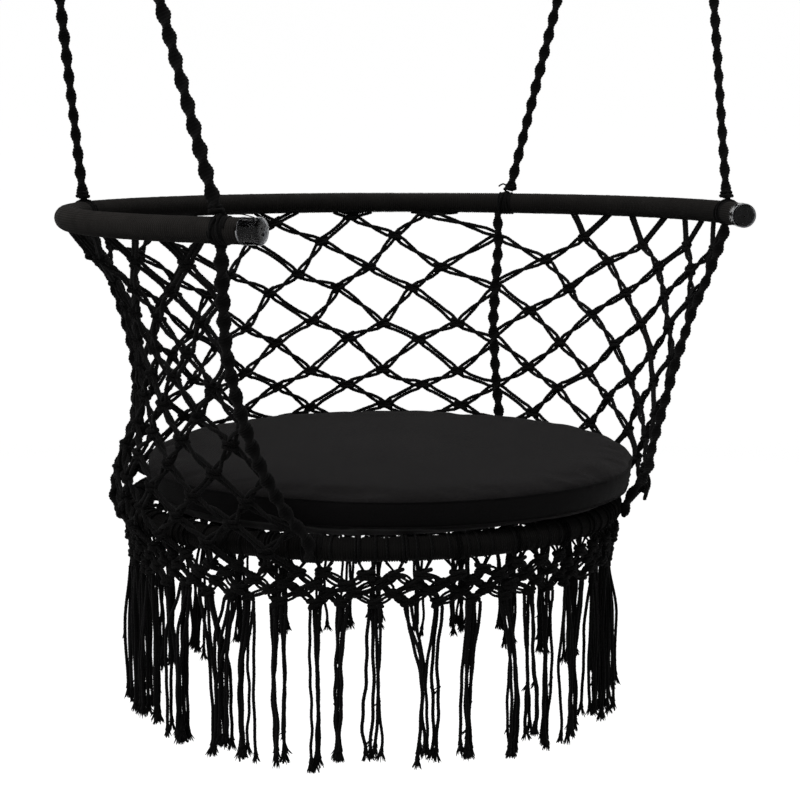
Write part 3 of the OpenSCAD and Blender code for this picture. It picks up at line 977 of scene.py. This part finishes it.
for name, quarter in QUARTERS.items():
    rng = np.random.default_rng(200 + quarter)
    cords, knots = Piece(), Piece()
    # Some neighbouring tassels hang together at the foot
    gathers = rng.normal(0, 4 * MM, QUARTER)
    for k in range(0, QUARTER - 1, 2):
        if rng.random() < 0.45:
            gathers[k] += 12 * MM
            gathers[k + 1] -= 12 * MM
    for k in range(QUARTER):
        at, angle = skirt_point(3, quarter * QUARTER + k - QUARTER // 2)
        along, out = ahead(angle), radial(angle)
        tie(knots, at, along, out, rng, SMALL_KNOT, 1.05)
        number = rng.choice(CORDS_IN_TASSEL)
        short = rng.uniform(-4, 14) * MM
        for c in range(number):
            place = c - (number - 1) / 2
            start_side = place * rng.uniform(2.6, 4.2) * MM
            end_side = gathers[k] + place * rng.uniform(1.5, 5.0) * MM + rng.normal(0, 2.5 * MM)
            start_out = rng.normal(0, 1.8) * MM
            end_out = rng.normal(0, 4.5) * MM
            drop = at[2] - (FRINGE_FOOT + short + rng.uniform(0, 12) * MM + 8 * MM)
            t = np.linspace(0, 1, int(drop / CORD_STEP))
            blend = ease(t / rng.uniform(0.35, 0.75))
            wave = wander(t, rng, (0.8, 3.2), (5, 10))
            kink = wander(t, rng, (0.3, 0.9), (22, 34))
            aside = start_side * np.minimum(1, t / 0.04 + 0.35) * (1 - blend) + end_side * blend + wave + kink
            outward = start_out * (1 - blend) + end_out * blend + np.roll(wave, 7) * 0.6
            path = at - UP * (drop * t)[:, None] + aside[:, None] * along + outward[:, None] * out
            knob = 1 + 0.6 * np.exp(-(((1 - t) * drop / (3.5 * MM)) ** 2))
            cord_r = CORD_ENDS_R * rng.uniform(0.92, 1.1)
            tube(cords, path, cord_r * knob, out, phase=rng.uniform(0, 6), pitch=11 * MM)
            down = unit(path[-1] - path[-6])
            brush(cords, path[-1], down, rng, HAIRS, rng.uniform(8, 13) * MM, rng.uniform(3.5, 7.5) * MM)
            if rng.random() < 0.16:
                where = path[int(len(path) * rng.uniform(0.55, 0.95))]
                brush(cords, where, unit(down + along * rng.choice((-1, 1)) * 0.9), rng, 3, 9 * MM, 3 * MM)
    hang_net(cords, knots, name, FRINGE_COTTON, "fringe_cord")


# ---- hitches, side ropes and the tops of the suspension ropes ----


def sink(turns):
    """Lets a short winding sink into what it is wound on at both ends."""

    def window(turn):
        return ease(np.minimum(turn, turns + 1 - turn) / 0.8)

    return window


def short_winding(centre, bend_r, angle, turns, pitch, around, ridge, dent, seed):
    """A few turns round the hoop or the ring, with their middle at an angle of it."""
    made = Piece()
    from_deg = angle - math.degrees(pitch * (turns + 1) / 2 / bend_r)
    wind(made, round_arc(centre, bend_r, from_deg, pitch, HITCH_CORE_R, sink(turns)), turns, 6, around,
         uneven_ridge(ridge, dent, seed, turns))
    return made


EYE_R = 21.5 * MM
EYE_CORD_R = 5.9 * MM
WHIPPING_TURNS = 11
WHIPPING_PITCH = 2 * MM
WHIPPING_R = 8 * MM
WHIPPING_TOP = 32 * MM

for number, corner in enumerate(CORNERS):
    rng = np.random.default_rng(300 + number)
    rope, route, rope_way = ropes[corner]
    body = "rope_" + corner
    angle = HOOP_ANGLE[corner]
    out, along = radial(angle), ahead(angle)
    made = short_winding(HOOP, HOOP_R, angle, 5, 3.9 * MM, 26, 1.8 * MM, 0.15 * MM, 300 + number)
    for side in (-1, 1):
        lean = np.linspace(-6, 6, 40) * MM * side
        at = FOOT[corner] + lean[:, None] * along
        path = round_wrap(at, angle, WRAPPED_R + STRAND_R, np.radians(np.linspace(-35, 215, 40)))
        tube(made, path, STRAND_R, along, phase=number)
    if corner == "front_left":
        tip = round_the(HOOP, HOOP_R + 4 * MM, HOOP_ARC[1] + 2.2) + UP * 13.5 * MM
        start = FOOT[corner] + along * 10 * MM + UP * 16 * MM
        middle = (start + tip) / 2 + UP * 1.5 * MM
        tube(made, smooth_path([start, middle, tip], 8), 0.6 * MM, UP, sides=6, lobes=0, depth=0.0)
    if corner == "back_right":
        start = FOOT[corner] + rope_way * 20 * MM
        loose = [start, start + along * 9 * MM + UP * 6 * MM, start + along * 16 * MM + UP * 3 * MM]
        tube(made, smooth_path(loose, 8), 1.1 * MM, out, sides=7)
    stand_in(made, "hoop_hitch_" + corner, "_cord", ROPE_COTTON, "chair", "hitch_cord")

    ring_angle = RING_ANGLE[corner]
    made = short_winding(RING, RING_R, ring_angle, 8, 2.9 * MM, 24, 2.9 * MM, 0.1 * MM, 330 + number)
    stand_in(made, "ring_hitch_" + corner, "_cord", ROPE_COTTON, "chair", "hitch_cord")

    made = Piece()
    posts = side_route(corner)
    above_ring = round_the(RING, RING_R + WRAPPED_R + 11 * MM, ring_angle, -13 * MM)
    beside_ring = round_the(RING, RING_R + WRAPPED_R + 5 * MM, ring_angle, 9 * MM)
    path = smooth_path([posts[0] + UP * 15 * MM, *posts[:-1], above_ring, beside_ring], 10)
    sinnet(made, path, ROPE_WIDTH[corner] + 0.5 * MM, np.array([0.3, 1.0, 0.0]), 21 * MM, 1.3 * number)
    stand_in(made, "side_rope_" + corner, "_sinnet", ROPE_COTTON, "chair", "side_rope")

    # The knot at the rope's foot turns with the rope, round the hoop
    made = Piece()
    across = unit(np.cross(along, rope_way))
    for level, size in ((20.5, 1.0), (24.5, 0.82)):
        t = circle(26)
        tilt = rng.uniform(-0.25, 0.25) * 6 * MM
        loop = 6.6 * size * MM * turn_between(t, along, across)
        path = FOOT[corner] + rope_way * level * MM + loop + (tilt * np.cos(t))[:, None] * rope_way
        tube(made, path, 2.1 * MM, rope_way, closed=True)
    for side in (-1, 0, 1):
        t = np.linspace(0, 1, 14)[:, None]
        path = FOOT[corner] + rope_way * (29 - 11.2 * t) * MM + along * side * (3 + 4.5 * t**1.5) * MM
        tube(made, path, 2.6 * MM, across)
    foot_knot = fit(made, "rope_foot_knot_" + corner, ROPE_COTTON, body, "suspension_rope")

    # The eye in the hang ring's groove, and the whipping that closes it
    made = Piece()
    loop = EYE_R * turn_between(circle(72), Y, UP)
    tube(made, HANG[corner] + loop, EYE_CORD_R, X, sides=18, pitch=24 * MM, closed=True)
    eye = stand_in(made, "rope_eye_" + corner, "_spliced", ROPE_COTTON, body, "suspension_rope")

    made = Piece()
    top = HANG[corner] - rope_way * WHIPPING_TOP
    x_axis = unit(np.cross(rope_way, Y))
    y_axis = np.cross(rope_way, x_axis)
    window = sink(WHIPPING_TURNS)

    def place(turn, angle, lift):
        r = WHIPPING_R + lift * window(turn) - (1 - window(turn)) * 1.6 * MM
        down = rope_way * (turn * WHIPPING_PITCH)[..., None]
        return top - down + r[..., None] * turn_between(angle, x_axis, y_axis)

    lift = uneven_ridge(1.4 * MM, 0.05 * MM, 350 + number, WHIPPING_TURNS)
    wind(made, place, WHIPPING_TURNS, 6, 26, lift)
    whipping = stand_in(made, "rope_whipping_" + corner, "_twine", TWINE_COTTON, body, "whipping_twine")


# ---- hoop ends: black plugs in clear caps ----


def turned(origin, axis, profile, sides, closed=False):
    """A shape turned from a profile of (distance along the axis, radius) points in mm."""
    axis = unit(axis)
    x_axis = unit(np.cross(axis, UP))
    y_axis = np.cross(axis, x_axis)
    spokes = turn_between(circle(sides), x_axis, y_axis)
    profile = profile * MM
    along = np.arange(len(profile)) * MM if closed else lengths(profile)
    piece = Piece()
    skin(piece, np.array([origin + axis * h + spokes * r for h, r in profile]), along, closed)
    return piece


ROUND_R = 0.6


def rounded(profile):
    """The profile with its inner corners rounded off."""
    p = np.asarray(profile, float)
    result = [p[0]]
    for before, at, after in zip(p[:-2], p[1:-1], p[2:]):
        back, on = before - at, after - at
        cut = min(ROUND_R, 0.45 * np.linalg.norm(back), 0.45 * np.linalg.norm(on))
        a, b = at + unit(back) * cut, at + unit(on) * cut
        for t in np.linspace(0, 1, 4):
            result.append((1 - t) ** 2 * a + 2 * t * (1 - t) * at + t**2 * b)
    result.append(p[-1])
    return np.array(result)


PLUG_PROFILE = [(-14, 0.05), (-14, 9.2), (0, 9.2), (0.4, 9.2), (0.4, 12.2), (13, 12.2), (14.5, 12.6),
                (17.0, 12.6), (17.0, 9.0), (11.5, 8.6), (11.5, 4.5), (13.6, 3.9), (13.6, 0.05)]
CAP_PROFILE = [(0.4, 12.75), (0.2, 13.2), (0.2, 14.0), (2.6, 14.0), (3.0, 13.6), (16.5, 13.6), (17.0, 14.0),
               (20.5, 14.0), (22.6, 12.2), (23.2, 9.5), (23.2, 0.05), (21.8, 0.05), (21.8, 9.2), (21.0, 11.2),
               (19.8, 12.75)]

for name, end_deg, side in (("left", HOOP_ARC[1], 1), ("right", HOOP_ARC[0], -1)):
    origin = round_the(HOOP, HOOP_R, end_deg)
    axis = ahead(end_deg) * side
    made = turned(origin, axis, rounded(PLUG_PROFILE), 48)
    stand_in(made, "hoop_end_plug_" + name, "_moulded", PLUG_PLASTIC, "chair", "end_plug")
    made = turned(origin, axis, rounded(CAP_PROFILE + [CAP_PROFILE[0]])[:-1], 56, closed=True)
    stand_in(made, "hoop_end_cap_" + name, "_clear", CAP_PLASTIC, "chair", "end_cap")


# ---- cushion ----

CUSHION_LOW = box_of("cushion_bottom_panel")[0][2]
CUSHION_TOP = cushion_hi[2]
SETTLE = 9 * MM
PLUMP = 8 * MM


def revolved(centre, profile, sides):
    """Rings round a vertical axis through the centre, from (radius, height) points."""
    x, y = np.cos(circle(sides)), np.sin(circle(sides))
    return np.array([centre + np.stack([r * x, r * y, np.full(sides, z)], -1) for r, z in profile])


def cushion_blank(inset, crown):
    """A round pad with a soft side, a little smaller than the cushion, for the cloth to swell from."""
    low, top = CUSHION_LOW + 1.5 * MM, CUSHION_TOP - crown
    outer = CUSHION_R - inset
    middle = (low + top) / 2
    half = (top - low) / 2
    side = [(outer - 9 * MM + 9 * MM * math.cos(a) ** 0.5, middle + half * math.sin(a))
            for a in np.radians(np.linspace(-90, 90, 13))]
    reach = np.linspace(0.002, outer - 12 * MM, 16)
    under = [(r, low) for r in reach]
    over = [(r, top + crown * 0.6 * (1 - (r / outer) ** 2)) for r in reach[::-1]]
    profile = under + side + over
    piece = Piece()
    skin(piece, revolved(CUSHION * (1, 1, 0), profile, 120), np.arange(len(profile)) * MM)
    return piece.object("cushion_cover", [PANEL_CANVAS, SHADED_BAND_CANVAS])


def run_modifier(thing, kind, **settings):
    modifier = thing.modifiers.new(kind.lower(), kind)
    for key, value in settings.items():
        setattr(modifier, key, value)
    bpy.context.view_layer.objects.active = thing
    bpy.ops.object.modifier_apply(modifier=modifier.name)


def coordinates(thing):
    co = np.empty(len(thing.data.vertices) * 3, np.float32)
    thing.data.vertices.foreach_get("co", co)
    return co.reshape(-1, 3).astype(float)


def set_coordinates(thing, co):
    thing.data.vertices.foreach_set("co", co.astype(np.float32).ravel())
    thing.data.update()


def fill_with_air(thing, pressure, cap):
    """Swells the pad by cloth simulation, and caps how far each point may move."""
    before = coordinates(thing)
    cloth = thing.modifiers.new("cloth", "CLOTH")
    settings = dict(use_pressure=True, uniform_pressure_force=pressure, tension_stiffness=30.0,
                    compression_stiffness=30.0, bending_stiffness=0.4)
    for key, value in settings.items():
        setattr(cloth.settings, key, value)
    cloth.settings.effector_weights.gravity = 0.0
    for number in range(1, 21):
        bpy.context.scene.frame_set(number)
    bpy.context.view_layer.objects.active = thing
    bpy.ops.object.modifier_apply(modifier=cloth.name)
    bpy.context.scene.frame_set(1)
    move = coordinates(thing) - before
    far = np.linalg.norm(move, axis=1, keepdims=True)
    set_coordinates(thing, before + move * np.minimum(1.0, cap / np.maximum(far, 1e-9)))


cushion = cushion_blank(5 * MM, 6 * MM)
run_modifier(cushion, "REMESH", mode="VOXEL", voxel_size=6 * MM)
fill_with_air(cushion, 4.0, 6 * MM)
run_modifier(cushion, "SUBSURF", levels=1)

# The top half of the pad ripples a little near its rim, and no point drops below the pad's lowest
# level. The pad rests on the seat ring's hitches and stays within its own space
co = coordinates(cushion)
from_axis = co[:, :2] - CUSHION[:2]
r = np.linalg.norm(from_axis, axis=1)
turn = np.arctan2(from_axis[:, 1], from_axis[:, 0])
edge = ease((r / CUSHION_R - 0.72) / 0.25)
ripple = 0.9 * np.sin(turn * 17 + 1.2 * np.sin(turn * 5)) + 0.6 * np.sin(turn * 29 + 2.0)
co[:, 2] += edge * ripple * 0.45 * MM * (co[:, 2] > (CUSHION_LOW + CUSHION_TOP) / 2)
co[:, 2] = np.maximum(co[:, 2], CUSHION_LOW + 0.1 * MM)

# Its underside settles inside the seat ring, onto the seat net
share = np.clip((co[:, 2] - CUSHION_LOW) / (CUSHION_TOP - CUSHION_LOW), 0.0, 1.1)
from_ring = np.linalg.norm(co[:, :2] - RING[:2], axis=1)
settle = ease((RING_R - WRAPPED_R - 3 * MM - from_ring) / (22 * MM))
co[:, 2] -= settle * np.maximum(0.0, 1 - 2 * share) * SETTLE

# It is plumper towards the back, and bulges between the ropes that stand round it
backward = 0.5 + 0.5 * (from_axis @ (0.54, 0.84)) / CUSHION_R
co[:, 2] += share * backward * PLUMP
bulge = BULGE * share
for corner in CORNERS:
    post = post_at(corner, (CUSHION_LOW + CUSHION_TOP) / 2)[:2] - CUSHION[:2]
    apart = (turn - math.atan2(post[1], post[0]) + math.pi) % (2 * math.pi) - math.pi
    bulge *= 1 - 0.7 * np.exp(-((apart / math.radians(6)) ** 2))
wide = (CUSHION_R + bulge) / (CUSHION_R - 1 * MM)
limit = (CUSHION_R + bulge) / np.maximum(r * wide, 1e-6)
co[:, :2] = CUSHION[:2] + from_axis * (wide * np.minimum(1.0, limit))[:, None]
set_coordinates(cushion, co)

faces = cushion.data.polygons
centres = np.empty(len(faces) * 3, np.float32)
faces.foreach_get("center", centres)
centres = centres.reshape(-1, 3)
face_r = np.linalg.norm(centres[:, :2] - CUSHION[:2], axis=1)
BAND_LOW, BAND_HIGH = CUSHION_LOW + 7 * MM, CUSHION_TOP - 10 * MM
# Faces on the side band between the seams take the darker canvas, painted shade.
painted_shade_band = (face_r > CUSHION_R - 20 * MM) & (centres[:, 2] > BAND_LOW) & (centres[:, 2] < BAND_HIGH)
faces.foreach_set("material_index", painted_shade_band.astype(np.int32))
faces.foreach_set("use_smooth", np.full(len(faces), True))
cushion.data.update()
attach(cushion, "cushion")
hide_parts("cushion_foam", "cushion_top_panel", "cushion_side_band", "cushion_bottom_panel")


def seam_line(z):
    """Where a seam runs round the pad: on its surface at that height."""
    near = coordinates(cushion)
    near = near[np.abs(near[:, 2] - z) < 3 * MM]
    flat = near[:, :2] - CUSHION[:2]
    r = np.linalg.norm(flat, axis=1)
    turn = np.arctan2(flat[:, 1], flat[:, 0])[r > CUSHION_R * 0.8]
    r = r[r > CUSHION_R * 0.8]
    theta = np.linspace(-math.pi, math.pi, 361)[:-1]
    reach = np.array([r[np.abs((turn - a + math.pi) % (2 * math.pi) - math.pi) < 0.03].max() for a in theta])
    reach = (reach + np.roll(reach, 1) + np.roll(reach, -1)) / 3
    return np.stack([CUSHION[0] + reach * np.cos(theta), CUSHION[1] + reach * np.sin(theta),
                     np.full(360, z)], -1)


made = Piece()
for z in (BAND_HIGH, BAND_LOW):
    tube(made, seam_line(z), 0.7 * MM, UP, sides=8, lobes=2, pitch=6 * MM, closed=True)
# The seams take the side band's darker canvas, painted shade.
fit(made, "cushion_seams", SHADED_BAND_CANVAS, "cushion", "cushion_side")


# ---- the CAD parts that stay in view ----


def finish_node(name, material):
    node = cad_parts[name]
    node.data.materials.clear()
    node.data.materials.append(material)


for name in ("hoop_tube", "seat_ring_tube"):
    finish_node(name, FRAME_STEEL)
for corner in CORNERS:
    finish_node("hang_ring_" + corner, RING_STEEL)


# ---- studio: a pale floor that curves up into a backdrop, and soft light from above ----

FLOOR = (0.0, 0.0, -1.6)


def studio():
    m = Nodes("studio_paper")
    m.colour(m.noise(m.place(), 1.5, 2.0), (0.9, 0.9, 0.9), (0.93, 0.93, 0.93))
    m.set(Roughness=0.9, Specular_IOR_Level=0.0, Emission_Color=(1.0, 1.0, 1.0, 1.0), Emission_Strength=0.85)
    piece = Piece()
    bend = [(6 + 1.5 * math.sin(a), 1.5 - 1.5 * math.cos(a)) for a in np.radians(np.linspace(0, 90, 12))]
    profile = [(0.0005, 0.0), (3.0, 0.0), *bend, (7.5, 6.0)]
    rings = revolved(FLOOR, profile, 72)
    skin(piece, rings[::-1], np.arange(len(profile)), capped=False)
    paper = piece.object("studio_floor", [m.material])
    paper.visible_diffuse = False
    paper.visible_glossy = True
    paper.visible_shadow = False


def softbox(name, place, size, power):
    light = bpy.data.lights.new(name, "AREA")
    light.shape = "SQUARE"
    light.size = size
    light.energy = power
    lamp = bpy.data.objects.new(name, light)
    lamp.location = place
    lamp.rotation_euler = (Vector((0.0, 0.0, -0.5)) - Vector(place)).to_track_quat("-Z", "Y").to_euler()
    bpy.context.scene.collection.objects.link(lamp)


studio()
softbox("key_light", (-2.6, -1.2, 2.9), 2.0, 62.0)
softbox("fill_light", (2.8, -1.4, 2.0), 2.4, 5.0)
softbox("top_light", (0.2, 0.6, 3.2), 2.6, 42.0)

world = bpy.data.worlds.new("studio_world")
bpy.context.scene.world = world
world.use_nodes = True
sky = world.node_tree.nodes["Background"].inputs
sky["Color"].default_value = (1.0, 1.0, 1.0, 1.0)
sky["Strength"].default_value = 0.1
bpy.context.scene.view_settings.view_transform = "Standard"
